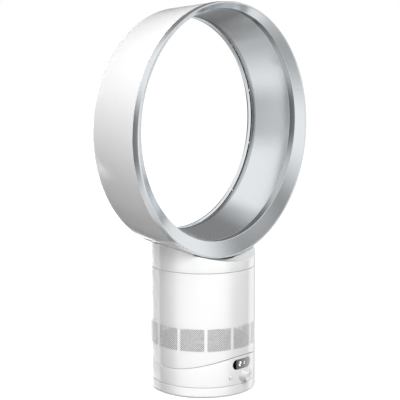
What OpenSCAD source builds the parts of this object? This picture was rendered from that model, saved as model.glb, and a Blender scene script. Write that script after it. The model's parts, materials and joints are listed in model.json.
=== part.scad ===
// A desk fan without outside blades: an air loop on a round body that tilts on a turning base.
// Millimetres. +Z is up and the front is -Y. The origin is on the table, under the base's axis.

/* [Loop] */
// Outer radius of the loop
loop_r = 178; // [160:1:200]
// How far the loop's front rim stands before the base's axis
loop_front = 48.7; // [44:0.1:54]
// How far the loop's rear face stands behind the base's axis
loop_rear = 45.4; // [42:0.1:50]
// Radius that the outer shell loses from the front band to the rear
loop_taper = 8; // [4:0.5:10]
// Rounding of the rear outer edge
rear_round = 3; // [2:0.5:5]
// Thickness of the rear wall, where it makes the slot
rear_wall = 2.9; // [2.4:0.1:4]
// Height of the inner circle's centre above the outer circle's centre
inner_rise = 7; // [0:0.5:7.5]

/* [Bezel] */
// Width of the silver band on the outside of the loop
band_w = 10.4; // [9:0.1:13]
// Thickness of the band and its rounded front lip
band_t = 2.2; // [1.6:0.1:2.4]
// Depth of the flare from the lip to the guide ring
flare_depth = 9.2; // [8:0.1:11]
// Thickness of the flare behind the guide ring
flare_wall = 1.6; // [1.4:0.1:2.2]
// Depth of the guide ring behind the flare
guide_len = 10; // [6:0.5:14]

/* [Duct] */
// Gap between the outer radius and the mouth of the inner duct
mouth_inset = 16.1; // [15.6:0.1:22]
// Radius lost from the mouth to the throat of the duct
throat_drop = 10.7; // [8:0.1:14]
// Wall of the inner duct
duct_wall = 2.2; // [1.6:0.1:2.4]
// Radius of the curl behind the throat
curl_r = 9; // [7:0.5:10]
// Width of the air slot
slot_w = 1.3; // [0.8:0.1:2]
// How far the rear lip reaches inside the throat radius
lip_reach = 0.2; // [0:0.1:1]
// Number of spacers in the slot
spacer_n = 12; // [6:1:24]

/* [Body] */
// Radius of the base, the body and the neck
body_r = 75; // [72:1:80]
// Wall of the moulded shells
shell_wall = 2.5; // [2:0.1:3]
// Height of the seam between body and neck
neck_z = 177; // [175:1:190]
// Height from that seam to the loop's lowest point
neck_h = 15; // [12:1:25]
// Gap under the bezel, over the neck's shoulder
rim_gap = 1; // [0.6:0.1:2]
// Width of a visible seam
seam_gap = 0.6; // [0.4:0.1:1]

/* [Inlet] */
// Lower edge of the perforated band
inlet_z = 66; // [64:1:68]
// Height of the perforated band
inlet_h = 33; // [28:1:35]
// Number of perforated panels
panel_n = 12; // [8:1:16]
// Width of the plain strip between two panels
pillar_w = 3; // [2:0.5:6]
// Rows of holes in a panel
hole_rows = 5; // [3:1:6]
// Holes in a row
hole_cols = 5; // [3:1:6]
// Diameter of a hole
hole_d = 4; // [2:0.5:4]

/* [Tilt] */
// Height of the tilt seam at the sides
seam_low = 39.1; // [38:0.1:42]
// Radius of the tilt seam about the tilt axis
tilt_r = 178; // [170:1:190]
// Tilt each way, in degrees
tilt_range = 10; // [5:1:12]
// Distance from the inside of the shell to the middle of a tilt rail
rail_inset = 42.5; // [38:0.5:46]
// Distance from the end of a rail's slot to the cradle's edge
rail_end = 6.8; // [6.4:0.2:20]
// Width of a rail's web
rail_web = 6; // [5:0.5:8]
// Width of a rail's foot
rail_foot = 12; // [10:1:16]

/* [Foot] */
// How far the rubber ring stands out
foot_gap = 1.2; // [0.8:0.1:2]
// Height of the seam over the foot
foot_top = 14.5; // [14:0.1:16]
// Rounding of the foot's bottom edge
foot_round = 1.5; // [0.5:0.5:2]
// Width of the rubber ring under the foot
pad_w = 9; // [5:0.5:12]
// Distance from the foot's edge to the rubber ring
pad_inset = 5; // [4:0.5:8]
// Radius of the pivot post
post_r = 12; // [11:0.5:13]
// Height of the post's top
post_top = 24; // [23:0.5:25]

/* [Gears] */
// Tooth module
tooth_m = 0.8; // [0.7:0.1:0.9]
// Teeth of the fixed gear
gear_n = 60; // [56:4:64]
// Teeth of the pinion
pinion_n = 12; // [10:2:14]
// Play between meshing teeth
backlash = 0.16; // [0.1:0.02:0.3]

/* [Controls] */
// Height of the row with the knob and the two buttons
row_z = 26; // [25:0.5:27]
// Radius of the knob where it leaves the base
knob_r = 7.5; // [6:0.5:9]
// How far the knob stands out
knob_out = 10; // [5:0.5:12]
// Radius of a button
button_r = 2.75; // [2:0.25:3]
// Place of a button to the side of the knob
button_x = 21.5; // [19:0.5:23]
// How far a button stands out
button_out = 1.2; // [1:0.1:2]
// Travel of a button
button_travel = 0.8; // [0.4:0.1:1]
// Distance from the tilt seam's front down to the display's centre
window_drop = 11.64; // [11.4:0.02:12.2]
// Width of the display
window_w = 37; // [30:1:38]
// Height of the display
window_h = 14.5; // [12:0.5:14.5]

/* [Blower] */
// Number of impeller blades
blade_n = 9; // [7:1:11]
// Thickness of a blade
blade_t = 1.6; // [1:0.1:2]
// Gap between the blades and the housing
blade_gap = 0.8; // [0.6:0.1:1.2]
// Number of diffuser vanes
vane_n = 13; // [9:1:15]
// Radius of the motor shaft
shaft_r = 3; // [2.5:0.5:4]
// Outer radius of the motor bucket
bucket_r = 38.5; // [37:0.5:40]

/* [Hidden] */
$fn = 128;
over = 1;
run_fit = 0.05;
set_fit = 0.1;
arc_steps = 8;
ring_steps = 128;

screw_r = 1.45;
screw_head_r = 2.4;
screw_head_h = 1.8;
thread_r = 1.5;

loop_z = neck_z + neck_h + loop_r;
inner_z = loop_z + inner_rise;
rear_r = loop_r - loop_taper;
band_h = loop_front - band_w;
lip_h = loop_front - band_t / 2;
flare_h = lip_h - flare_depth;
guide_h = flare_h - guide_len;
mouth_r = loop_r - mouth_inset;
throat_r = mouth_r - throat_drop;
curl_x = throat_r + curl_r;
curl_y = rear_wall - loop_rear + curl_r + slot_w;
curl_end = 65;
curl_reach = norm([mouth_r - curl_x, guide_h - curl_y]);
duct_taper = atan((mouth_r - curl_x) / (guide_h - curl_y)) + asin(curl_r / curl_reach);
lip_edge = 1;
lip_start = 50;
spacer_arc = 1;
tongue_len = 4;
tongue_t = 1.4;
tongue_gap = 0.5;
tongue_r = loop_r - shell_wall - tongue_gap;
collar_len = 5;
collar_t = 1.6;
sleeve_r = mouth_r + duct_wall + set_fit;

body_in = body_r - shell_wall;
fill_r = body_in - set_fit;
neck_low = neck_z + seam_gap / 2;
body_top = neck_z - seam_gap / 2;
port_side = 20.5;
port_x = body_in - port_side;
port_edge = 5;

tilt_z = seam_low + tilt_r;
tilt_in = tilt_r - seam_gap / 2;
tilt_out = tilt_r + seam_gap / 2;
window_z = tilt_z - sqrt(pow(tilt_out, 2) - pow(body_r, 2)) - window_drop;
plate_t = 2.5;
ledge_w = 2.5;
rail_gap = 0.2;
rail_foot_t = 2.2;
web_gap = 0.3;
rail_screw_angle = 4.5;
rail_x = body_in - rail_inset;
rail_slot = rail_x + rail_web / 2 + web_gap;
slot_half = sqrt(pow(fill_r, 2) - pow(rail_slot, 2)) - rail_end;
rail_half = asin((slot_half - over) / (tilt_out + plate_t + rail_foot_t)) - tilt_range;
strip_w = 8;
strip_gap = 8;
strip_x = rail_x + (rail_foot + strip_w) / 2 + strip_gap;
strip_angle = 12;
wire_r = 8;

table_low = foot_top + seam_gap / 2;
table_t = 2.5;
table_top = table_low + table_t;
base_low = foot_top + seam_gap;
hub_wall = 3;
hub_gap = 0.1;
floor_top = foot_gap + shell_wall;
flange_r = 20;
flange_t = 3;
post_bore = 8;
post_screw_r = 16;
ballast_t = 4;
ballast_room = 16;
ballast_in = flange_r + ballast_room;
ring_inset = 14.5;
ring_r = body_in - ring_inset;
ring_w = 3;
gear_low = floor_top + flange_t;
gear_t = 5.8;
pinion_lift = 1.6;
pinion_low = gear_low + pinion_lift;
pinion_t = 4;
pitch_r = tooth_m * gear_n / 2;
pinion_pitch = tooth_m * pinion_n / 2;
mesh_gap = 0.12;
gear_gap = pitch_r + pinion_pitch + mesh_gap;
pinion_shaft_r = 2;
pressure_angle = 20;
tooth_top_share = 0.8;
tooth_root_share = 1.3;
flank_steps = 4;
pinion_hole_r = 7;
cap_t = 1.5;
cap_over = 2.5;
cap_r = post_r + hub_wall + cap_over;
cap_screw_n = 3;
cap_screw_r = 10;
drive_r = 14;
drive_h = 12;
drive_shift = 7;
ear_x = 17.5;
ear_r = 3.5;
ear_t = 1.2;
boss_r = 4;
boss_inset = 5;
boss_place = fill_r - boss_inset;
pad_h = 2.2;
pad_out = body_r - pad_inset;

inlet_w = 12;
inlet_t = 7.2;
inlet_deep = 12.3;
socket_r = 2.8;
pin_r = 1;
pin_len = 9;

board_inset = 10.5;
board_y = body_in - board_inset;
board_t = 1.6;
board_side = 7.5;
board_half = button_x + board_side;
board_over = 10;
board_top = row_z + board_over;
switch_w = 6;
switch_t = 2.5;
flange_gap = 0.4;
button_flange = 0.6;
button_rim = 1;
knob_gap = 0.4;
knob_shaft_r = 3;
knob_shaft_len = 8;
knob_face_share = 0.8;
dish_share = 0.55;
dish_d = 0.6;
coder_w = 12;
glass_back = 0.9;
glass_tab = 2;
glass_room = 1.5;
led_inset = 5.5;
led_y = body_in - led_inset;
led_side = 1.5;
led_half = window_w / 2 + led_side;
led_below = 5.7;
led_low = window_z - led_below;
led_play = 0.5;
led_high = tilt_z - sqrt(pow(tilt_out + plate_t, 2) - pow(led_y - board_t, 2)) - led_play;
digit_t = 2.5;
digit_w = 5.6;
digit_h = 6.6;
digit_gap = 2.4;

inlet_top = inlet_z + inlet_h;
grille_t = 1.5;
grille_edge = 2.5;
grille_skin = 0.2;
house_lift = 5;
house_low = inlet_top + house_lift;
house_inset = 15.5;
house_out = body_in - house_inset;
house_flare = 23.5;
house_in = house_out - house_flare;
house_wall = 2;
bell_r = 3;
cone_low = house_low + bell_r;
cone_h = 32;
cone_top = cone_low + cone_h;
house_rim = 15;
house_top = cone_top + house_rim;
ledge_drop = 8;
ledge_z = house_top - ledge_drop;
ledge_t = 2.6;
ledge_reach = 6.5;
ledge_in = body_in - ledge_reach;
seal_t = 1.4;
flange_z = ledge_z + ledge_t + seal_t;
flange_play = 2;
flange_out = body_in - flange_play;
hub_nose = 12;
hub_play = 1;
hub_low = cone_low + hub_play;
hub_top = cone_top - hub_play;
bucket_lift = 1.2;
bucket_low = hub_top + bucket_lift;
bucket_t = 2.3;
bucket_lower_h = 16;
bucket_split = bucket_low + bucket_lower_h;
bucket_upper_h = 15;
bucket_top = bucket_split + bucket_upper_h;
bucket_dome = 7.7;
bearing_r = 8;
bearing_h = 5;
bearing_wall = 3;
bearing_low = bucket_low + bucket_t;
stator_t = 5;
stator_lift = 1;
stator_low = bearing_low + bearing_h + stator_lift;
stator_h = 12;
rotor_inset = 23.5;
rotor_r = bucket_r - rotor_inset;
rotor_gap = 0.5;
tooth_n = 9;
tooth_w = 4;
coil_t = 1.8;
bearing_lift = 2;
bearing_high = stator_low + stator_h + bearing_lift;
shaft_lift = 4;
shaft_low = hub_low + shaft_lift;
shaft_over = 1;
shaft_top = bearing_high + bearing_h + shaft_over;
vane_ring = 1.6;
vane_lift = 1.5;
vane_low = bucket_low + vane_lift;
vane_h = 12;
vane_t = 1.4;
vane_lean = 30;
foam_h = 6;
foam_lift = 0.2;
foam_low = tilt_z - sqrt(pow(tilt_in - plate_t, 2) - pow(fill_r, 2)) + foam_lift;

lock_n = 4;
lock_arc = 16;
lock_play = 3;
lock_turn = 20;
lock_drop = 11;
lock_z = neck_z - lock_drop;
lock_t = 4;
lug_h = 4.4;
lug_gap = 0.3;
tube_inset = 6.8;
tube_r = body_in - tube_inset;
tube_t = 2.2;
lug_reach = 3.5;
lug_r = tube_r + lug_reach;
collar_lift = 0.9;
collar_z = neck_low + collar_lift;
collar_plate = 2.5;
seal_ring_t = 1.2;

// Places what stands on the XY plane so that its Z axis points to the front, at height z
module facing_front(z) {
    translate([0, 0, z]) rotate([90, 0, 0]) children();
}

// Places what is drawn about the Z axis about the tilt axis, with local X pointing down
module about_tilt() {
    translate([0, 0, tilt_z]) rotate([0, 90, 0]) children();
}

// Cylinder about the tilt axis, wider than the body
module tilt_drum(r) {
    about_tilt() cylinder(h = 2 * (body_r + over), r = r, center = true);
}

// Curved plate about the tilt axis, as wide as the body's inside
module tilt_plate(r_in, r_out) {
    intersection() {
        difference() {
            tilt_drum(r_out);
            tilt_drum(r_in);
        }
        cylinder(h = tilt_z / 2, r = fill_r);
    }
}

// Straight bar bent about the tilt axis: r_in to r_out, width w at place x, half arc in degrees
module tilt_bar(r_in, r_out, w, x, half) {
    about_tilt() rotate([0, 0, -half]) rotate_extrude(angle = 2 * half)
        translate([r_in, x - w / 2]) square([r_out - r_in, w]);
}

// Ring about the Z axis
module ring(r_in, r_out, z, h) {
    translate([0, 0, z]) difference() {
        cylinder(h = h, r = r_out);
        translate([0, 0, -over]) cylinder(h = h + 2 * over, r = r_in);
    }
}

// Rod along Z
module rod(r, z, h) {
    translate([0, 0, z]) cylinder(h = h, r = r);
}

// Repeats its children round the Z axis
module round_z(n, first = 0) {
    for (k = [0 : n - 1]) rotate([0, 0, first + k * 360 / n]) children();
}

// Points of an arc
function arc(x, y, r, a, b) =
    [for (k = [0 : arc_steps]) [x + r * cos(a + (b - a) * k / arc_steps),
        y + r * sin(a + (b - a) * k / arc_steps)]];

// Points of the curl behind the duct's throat: angle 0 is the throat, and it grows to the rear
function curl(r, a, b) = arc(curl_x, curl_y, r, 180 + a, 180 + b);

// Closed surface through rings, each given as radius, height and distance of its centre along Y
module ring_surface(rings) {
    n = ring_steps;
    m = len(rings);
    polyhedron(
        points = [for (g = rings, k = [0 : n - 1])
            [g[0] * cos(360 * k / n), g[2] + g[0] * sin(360 * k / n), g[1]]],
        faces = [for (i = [0 : m - 1], k = [0 : n - 1], half = [0, 1])
            let (a = i * n + k, b = i * n + (k + 1) % n, c = (i + 1) % m * n + (k + 1) % n,
                d = (i + 1) % m * n + k)
                half == 0 ? [a, c, b] : [a, d, c]]);
}

// Outline that the neck's top follows: under the bezel, the outer shell and the rear edge
function neck_outline(grow) = [
    [0, body_r + over], [loop_r + rim_gap + grow, body_r + over],
    [loop_r + rim_gap + grow, band_h], [loop_r + set_fit + grow, band_h],
    [rear_r + set_fit + grow, -loop_rear], [rear_r + set_fit + grow, -body_r - over],
    [0, -body_r - over]];

// Ring of the outer shell with its rear wall, before the inner hole is cut
function shell_outline() = concat(
    [[loop_r, band_h], [loop_r - shell_wall, band_h],
        [rear_r - shell_wall, rear_wall - loop_rear], [throat_r - inner_rise, rear_wall - loop_rear],
        [throat_r - inner_rise, -loop_rear]],
    arc(rear_r - rear_round, rear_round - loop_rear, rear_round, -90, 0));

module loop_outer_shell() {
    color("white") difference() {
        union() {
            difference() {
                facing_front(loop_z) rotate_extrude() polygon(shell_outline());
                facing_front(inner_z) translate([0, 0, -loop_rear - over])
                    cylinder(h = loop_rear, r = curl_x - shell_wall);
            }
            facing_front(inner_z) rotate_extrude() polygon(concat(
                [[curl_x, -loop_rear]],
                [[throat_r - lip_reach + lip_edge, -loop_rear],
                    [throat_r - lip_reach, lip_edge - loop_rear],
                    [throat_r - lip_reach, rear_wall - loop_rear]],
                curl(curl_r + slot_w, lip_start, 90)));
        }
        air_port();
    }
}

// Opening for the air from the neck into the loop
module air_port() {
    translate([-port_x, port_edge - band_h, loop_z - loop_r - neck_h / 2])
        cube([2 * port_x, band_h + loop_rear - 2 * port_edge, neck_h / 2 + mouth_inset + port_edge]);
}

// Solid under the loop, of the body's round shape, shrunk by a wall
module neck_block(wall, low) {
    difference() {
        rod(body_r - wall, low, loop_z - low - rear_r + body_r / 2);
        facing_front(loop_z) rotate_extrude() polygon(neck_outline(wall));
    }
}

module loop_neck() {
    color("white") difference() {
        neck_block(0, neck_low);
        neck_block(shell_wall, neck_low - over);
        air_port();
    }
}

// Rings of the bezel: band, rounded lip, flare, guide ring, sleeve and the tongue in the shell
function bezel_rings() = concat(
    [[loop_r, band_h, 0]],
    [for (p = arc(loop_r - band_t / 2, lip_h, band_t / 2, 0, 180)) [p[0], p[1], 0]],
    [[mouth_r, flare_h, inner_rise], [mouth_r, guide_h, inner_rise],
        [sleeve_r, guide_h, inner_rise], [sleeve_r, guide_h - collar_len, inner_rise],
        [sleeve_r + collar_t, guide_h - collar_len, inner_rise],
        [sleeve_r + collar_t, flare_h - flare_wall, inner_rise],
        [tongue_r - tongue_t, lip_h - band_t - 2 * flare_wall, 0],
        [tongue_r - tongue_t, band_h - tongue_len, 0], [tongue_r, band_h - tongue_len, 0],
        [tongue_r, band_h, 0]]);

module loop_bezel() {
    color("silver") facing_front(loop_z) ring_surface(bezel_rings());
}

module loop_duct() {
    color("silver") facing_front(inner_z) rotate_extrude() polygon(concat(
        [[mouth_r + duct_wall, guide_h], [mouth_r, guide_h]],
        curl(curl_r, -duct_taper, curl_end),
        curl(curl_r - duct_wall, curl_end, -duct_taper)));
}

module slot_spacers() {
    color("silver") facing_front(inner_z) round_z(spacer_n, 180 / spacer_n)
        rotate_extrude(angle = spacer_arc) polygon(concat(
            curl(curl_r + set_fit, lip_start, curl_end),
            curl(curl_r + slot_w - set_fit, curl_end, lip_start)));
}

module neck_collar() {
    color("white") {
        ring(tube_r - tube_t, body_in - set_fit, collar_z, collar_plate);
        ring(tube_r - tube_t, tube_r, lock_z - lug_gap - lug_h, collar_z - lock_z + lug_gap + lug_h + over);
        round_z(lock_n, -lock_arc / 2) rotate_extrude(angle = lock_arc)
            translate([tube_r - tube_t / 2, lock_z - lug_gap - lug_h])
                square([lug_r - tube_r + tube_t / 2, lug_h]);
    }
}

// Windows of the body shell, or the panels that fill them when they shrink by a gap
module panel_boxes(gap) {
    width = 2 * body_r * sin(180 / panel_n) - pillar_w;
    round_z(panel_n) translate([-width / 2 + gap, -body_r - over, inlet_z + gap])
        cube([width - 2 * gap, body_r / 2, inlet_h - 2 * gap]);
}

module body_shell() {
    color("white") difference() {
        union() {
            intersection() {
                ring(body_in, body_r, tilt_z - tilt_r, body_top - tilt_z + tilt_r);
                tilt_drum(tilt_in);
            }
            ring(ledge_in, body_in + over, ledge_z, ledge_t);
            intersection() {
                ring(body_in - ledge_w, body_in + over, 0, inlet_z);
                tilt_drum(tilt_in - plate_t);
                difference() {
                    tilt_drum(tilt_in);
                    tilt_drum(tilt_in - plate_t - ledge_w);
                }
            }
        }
        panel_boxes(0);
    }
}

module inlet_grille() {
    skin_r = body_r - grille_skin;
    back_r = body_in - set_fit - grille_t;
    hole_step = 2 * body_r * sin(180 / panel_n) / (hole_cols + 1);
    row_step = inlet_h / (hole_rows + 1);
    color("gainsboro") difference() {
        union() {
            ring(back_r, back_r + grille_t, inlet_z - grille_edge, inlet_h + 2 * grille_edge);
            intersection() {
                ring(back_r + set_fit, skin_r, inlet_z, inlet_h);
                panel_boxes(set_fit);
            }
        }
        round_z(panel_n) for (i = [1 : hole_rows], j = [1 : hole_cols])
            translate([(j - (hole_cols + 1) / 2) * hole_step + (i % 2 - 1 / 2) * hole_d / 2, 0,
                inlet_z + i * row_step])
                rotate([90, 0, 0]) rod(hole_d / 2, back_r / 2, body_r);
    }
}

module body_floor() {
    color("white") difference() {
        tilt_plate(tilt_in - plate_t, tilt_in);
        rod(wire_r, seam_low - over, 2 * plate_t + over);
        rail_screw_places() rod(thread_r + run_fit, tilt_in - plate_t - over, plate_t + 2 * over);
    }
}

// Screws through the body's floor into the rails: local Z points away from the tilt axis
module rail_screw_places() {
    for (x = [-rail_x, rail_x], a = [-rail_screw_angle, rail_screw_angle])
        translate([x, 0, tilt_z]) rotate([180 + a, 0, 0]) children();
}

module tilt_rails() {
    color("dimgray") difference() {
        for (x = [-rail_x, rail_x]) {
            tilt_bar(tilt_in, tilt_out + plate_t + rail_gap + rail_foot_t, rail_web, x, rail_half);
            tilt_bar(tilt_out + plate_t + rail_gap, tilt_out + plate_t + rail_gap + rail_foot_t,
                rail_foot, x, rail_half);
        }
        rail_screw_places() rod(thread_r, tilt_in - over, plate_t + rail_foot_t + over);
    }
}

module rail_screws() {
    color("silver") rail_screw_places() {
        rod(screw_head_r, tilt_in - plate_t - screw_head_h, screw_head_h);
        rod(screw_r, tilt_in - plate_t - over, plate_t + rail_foot_t + over);
    }
}

module inlet_foam() {
    color("dimgray") ring(2 * wire_r, fill_r - ledge_w, foam_low, foam_h);
}

module impeller_housing() {
    color("whitesmoke") {
        rotate_extrude() polygon([
            [house_in + bell_r, house_low], [house_in, cone_low], [house_out, cone_top],
            [house_out, house_top], [house_out + house_wall, house_top],
            [house_out + house_wall, cone_top], [house_in + house_wall, cone_low],
            [house_in + bell_r + house_wall, house_low]]);
        ring(house_out + house_wall / 2, flange_out, flange_z, house_wall);
    }
}

module housing_seal() {
    color("dimgray") ring(ledge_in + over, flange_out, ledge_z + ledge_t, seal_t);
}

module outlet_foam() {
    color("dimgray") ring(house_out + house_wall + set_fit, fill_r, flange_z + house_wall, foam_h);
}

module diffuser_vanes() {
    vane_in = bucket_r + run_fit;
    vane_out = house_out - set_fit;
    color("whitesmoke") {
        ring(vane_in, vane_in + vane_ring, vane_low, vane_h);
        ring(vane_out - vane_ring, vane_out, vane_low, vane_h);
        intersection() {
            ring(vane_in + vane_ring / 2, vane_out - vane_ring / 2, vane_low, vane_h);
            round_z(vane_n) translate([0, 0, vane_low + vane_h / 2]) rotate([vane_lean, 0, 0])
                translate([0, -vane_t / 2, -vane_h]) cube([house_out, vane_t, 2 * vane_h]);
        }
    }
}

module bucket_lower() {
    color("whitesmoke") difference() {
        union() {
            rod(bucket_r, bucket_low, bucket_t);
            ring(bucket_r - bucket_t, bucket_r, bucket_low, bucket_split - bucket_low);
            rod(bearing_r + bearing_wall, bucket_low, bucket_t + bearing_h);
        }
        rod(bearing_r + run_fit, bearing_low, bearing_h + over);
        rod(bearing_r - bearing_wall, bucket_low - over, bucket_t + 2 * over);
    }
}

module bucket_upper() {
    color("whitesmoke") difference() {
        union() {
            rotate_extrude() polygon([
                [bucket_r - bucket_t, bucket_split], [bucket_r, bucket_split],
                [bucket_r, bucket_top - bucket_dome], [bucket_r / 2, bucket_top], [0, bucket_top],
                [0, bucket_top - bucket_t], [bucket_r / 2 - bucket_t, bucket_top - bucket_t],
                [bucket_r - bucket_t, bucket_top - bucket_t - bucket_dome]]);
            rod(bearing_r + bearing_wall, bearing_high, bucket_top - bearing_high - bucket_t / 2);
        }
        rod(bearing_r + run_fit, bearing_high - over, bearing_h + over);
        rod(bearing_r - bearing_wall, bearing_high, bucket_top - bearing_high - bucket_t / 2);
    }
}

module stator_teeth(extra, low, h) {
    round_z(tooth_n) translate([rotor_r + rotor_gap, -tooth_w / 2 - extra, low])
        cube([bucket_r - bucket_t - stator_t - rotor_r - rotor_gap + over, tooth_w + 2 * extra, h]);
}

module motor_stator() {
    color("gray") {
        ring(bucket_r - bucket_t - stator_t, bucket_r - bucket_t - run_fit, stator_low, stator_h);
        difference() {
            stator_teeth(0, stator_low, stator_h);
            rod(rotor_r + rotor_gap, stator_low - over, stator_h + 2 * over);
        }
    }
}

module motor_coils() {
    coil_in = rotor_r + 2 * coil_t;
    coil_out = bucket_r - bucket_t - stator_t - coil_t;
    color("chocolate") difference() {
        round_z(tooth_n) translate([coil_in, -tooth_w / 2 - coil_t, stator_low - coil_t / 2])
            cube([coil_out - coil_in, tooth_w + 2 * coil_t, stator_h + coil_t]);
        stator_teeth(0, stator_low, stator_h);
    }
}

module lower_bearing() {
    color("silver") ring(shaft_r + run_fit, bearing_r, bearing_low, bearing_h);
}

module upper_bearing() {
    color("silver") ring(shaft_r + run_fit, bearing_r, bearing_high, bearing_h);
}

module lock_ring() {
    color("white") difference() {
        ring(tube_r + lug_gap, body_in - set_fit, lock_z, lock_t);
        round_z(lock_n, lock_turn - lock_arc / 2 - lock_play / 2)
            rotate_extrude(angle = lock_arc + lock_play) translate([tube_r, lock_z - over])
                square([lug_r - tube_r + lug_gap, lock_t + 2 * over]);
    }
}

module neck_seal() {
    color("dimgray") ring(tube_r + lug_gap, body_in - set_fit, lock_z + lock_t, seal_ring_t);
}

// Space between the hub and the blade tips
module blade_space() {
    rotate_extrude() polygon([
        [hub_nose / 2, hub_low], [house_in - blade_gap, hub_low],
        [house_in - blade_gap + (house_out - house_in) * (hub_top - hub_low) / (cone_top - cone_low),
            hub_top], [hub_nose, hub_top]]);
}

module impeller() {
    color("lightgray") difference() {
        union() {
            rotate_extrude() polygon([
                [0, hub_low], [hub_nose, hub_low], [bucket_r, hub_top - blade_t], [bucket_r, hub_top],
                [0, hub_top]]);
            intersection() {
                blade_space();
                round_z(blade_n) translate([hub_nose / 2, -blade_t / 2, hub_low])
                    rotate([vane_lean, 0, 0]) translate([0, 0, -hub_top + hub_low])
                        cube([house_out, blade_t, 3 * (hub_top - hub_low)]);
            }
        }
        rod(shaft_r, shaft_low - over, hub_top - shaft_low + 2 * over);
    }
}

module motor_shaft() {
    color("silver") rod(shaft_r, shaft_low, shaft_top - shaft_low);
}

module motor_rotor() {
    color("gray") ring(shaft_r, rotor_r, stator_low, stator_h);
}

// Obround opening or glass of the display
module display_shape(grow, depth) {
    straight = window_w - window_h;
    facing_front(window_z) {
        for (x = [-straight / 2, straight / 2])
            translate([x, 0, 0]) cylinder(h = depth, r = window_h / 2 + grow);
        translate([-straight / 2, -window_h / 2 - grow, 0])
            cube([straight, window_h + 2 * grow, depth]);
    }
}

module base_shell() {
    color("white") difference() {
        union() {
            difference() {
                ring(body_in, body_r, base_low, tilt_z / 2);
                tilt_drum(tilt_out);
            }
            difference() {
                ring(body_in - ledge_w, body_in + over, table_top, tilt_z / 2);
                difference() {
                    cylinder(h = tilt_z, r = body_r);
                    difference() {
                        tilt_drum(tilt_out + plate_t + ledge_w);
                        tilt_drum(tilt_out + plate_t);
                    }
                }
                translate([-window_w, -body_r, table_top]) cube([2 * window_w, body_r / 2, tilt_z]);
            }
            round_z(4, 45) translate([boss_place, 0, 0]) rod(boss_r, table_top, row_z - table_top);
            round_z(4, 45) translate([boss_place, -boss_r / 2, table_top])
                cube([body_in - boss_place + over, boss_r, row_z - table_top]);
        }
        display_shape(set_fit, body_r + over);
        facing_front(row_z) rod(knob_shaft_r + run_fit, body_r / 2, body_r);
        for (x = [-button_x, button_x]) translate([x, 0, 0]) facing_front(row_z)
            rod(button_r + run_fit, body_r / 2, body_r);
        round_z(4, 45) translate([boss_place, 0, 0]) rod(thread_r, table_top - over, row_z - table_top);
    }
}

module tilt_cradle() {
    color("white") difference() {
        tilt_plate(tilt_out, tilt_out + plate_t);
        for (x = [-rail_x, rail_x]) translate([x - rail_web / 2 - web_gap, -slot_half, 0])
            cube([rail_web + 2 * web_gap, 2 * slot_half, tilt_z / 2]);
        translate([-wire_r, -tilt_r * sin(tilt_range) - wire_r, 0])
            cube([2 * wire_r, 2 * tilt_r * sin(tilt_range) + 2 * wire_r, tilt_z / 2]);
        translate([-window_w / 2, -body_r, 0])
            cube([window_w, body_r - fill_r + glass_back + glass_room, window_z + window_h / 2 + set_fit]);
    }
}

module wear_strips() {
    color("dimgray") for (x = [-strip_x, strip_x])
        tilt_bar(tilt_in + run_fit, tilt_out, strip_w, x, strip_angle);
}

module turntable() {
    color("white") difference() {
        union() {
            rod(fill_r, table_low, table_t);
            rod(post_r + hub_wall, table_low, post_top - hub_gap - table_low);
        }
        rod(post_r + run_fit, table_low - over, post_top);
        translate([0, gear_gap, 0]) rod(pinion_hole_r, table_low - over, table_t + 2 * over);
        round_z(4, 45) translate([boss_place, 0, 0])
            rod(thread_r, table_low - over, table_t + 2 * over);
        drive_ears() rod(thread_r, table_low - over, table_t + 2 * over);
    }
}

module base_screws() {
    color("silver") round_z(4, 45) translate([boss_place, 0, 0]) {
        rod(screw_head_r, table_low - screw_head_h, screw_head_h);
        rod(screw_r, table_low - over, row_z - table_low - 2 * over);
    }
}

module display_window() {
    glass_r = body_r - set_fit;
    color("black") union() {
        intersection() {
            display_shape(-set_fit, body_r + over);
            ring(fill_r - glass_back, glass_r, 0, tilt_z);
        }
        intersection() {
            facing_front(window_z) translate([-window_w / 2 - glass_tab, -window_h / 4, 0])
                cube([window_w + 2 * glass_tab, window_h / 2, body_r]);
            ring(fill_r - glass_back, fill_r, 0, tilt_z);
        }
    }
}

module display_board() {
    color("darkgreen") translate([-led_half, -led_y, led_low])
        cube([2 * led_half, board_t, led_high - led_low]);
}

module display_digits() {
    color("dimgray") for (x = [-digit_w - digit_gap / 2, digit_gap / 2])
        translate([x, -led_y - digit_t, window_z - digit_h / 2])
            cube([digit_w, digit_t, digit_h]);
}

module control_board() {
    color("darkgreen") translate([-board_half, -board_y, table_top])
        cube([2 * board_half, board_t, board_top - table_top]);
}

module switch_housings() {
    color("dimgray") for (x = [-button_x, button_x]) translate([x, 0, 0]) difference() {
        translate([-switch_w / 2, -board_y - switch_t, row_z - switch_w / 2])
            cube([switch_w, switch_t, switch_w]);
        facing_front(row_z) rod(button_rim + set_fit, board_y, 2 * switch_t);
    }
}

module knob_encoder() {
    color("gray") difference() {
        translate([-coder_w / 2, -body_in + over, row_z - coder_w / 2])
            cube([coder_w, body_in - over - board_y, coder_w]);
        facing_front(row_z) rod(knob_shaft_r + run_fit, body_in - knob_shaft_len, body_r);
    }
}

// Screw places of the oscillation motor's ears
module drive_ears() {
    for (x = [-ear_x, ear_x]) translate([x, gear_gap + drive_shift, 0]) children();
}

module oscillation_motor() {
    color("silver") difference() {
        union() {
            translate([0, gear_gap + drive_shift, 0]) rod(drive_r, table_top, drive_h);
            drive_ears() rod(ear_r, table_top, ear_t);
            translate([-ear_x, gear_gap + drive_shift - ear_r, table_top])
                cube([2 * ear_x, 2 * ear_r, ear_t]);
        }
        translate([0, gear_gap, 0]) rod(pinion_shaft_r + run_fit, table_top - over, drive_h / 2 + over);
        drive_ears() rod(thread_r, table_top - over, ear_t + 2 * over);
    }
}

module motor_screws() {
    color("silver") drive_ears() {
        rod(screw_head_r, table_top + ear_t, screw_head_h);
        rod(screw_r, table_low + set_fit, table_t + ear_t);
    }
}

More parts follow.
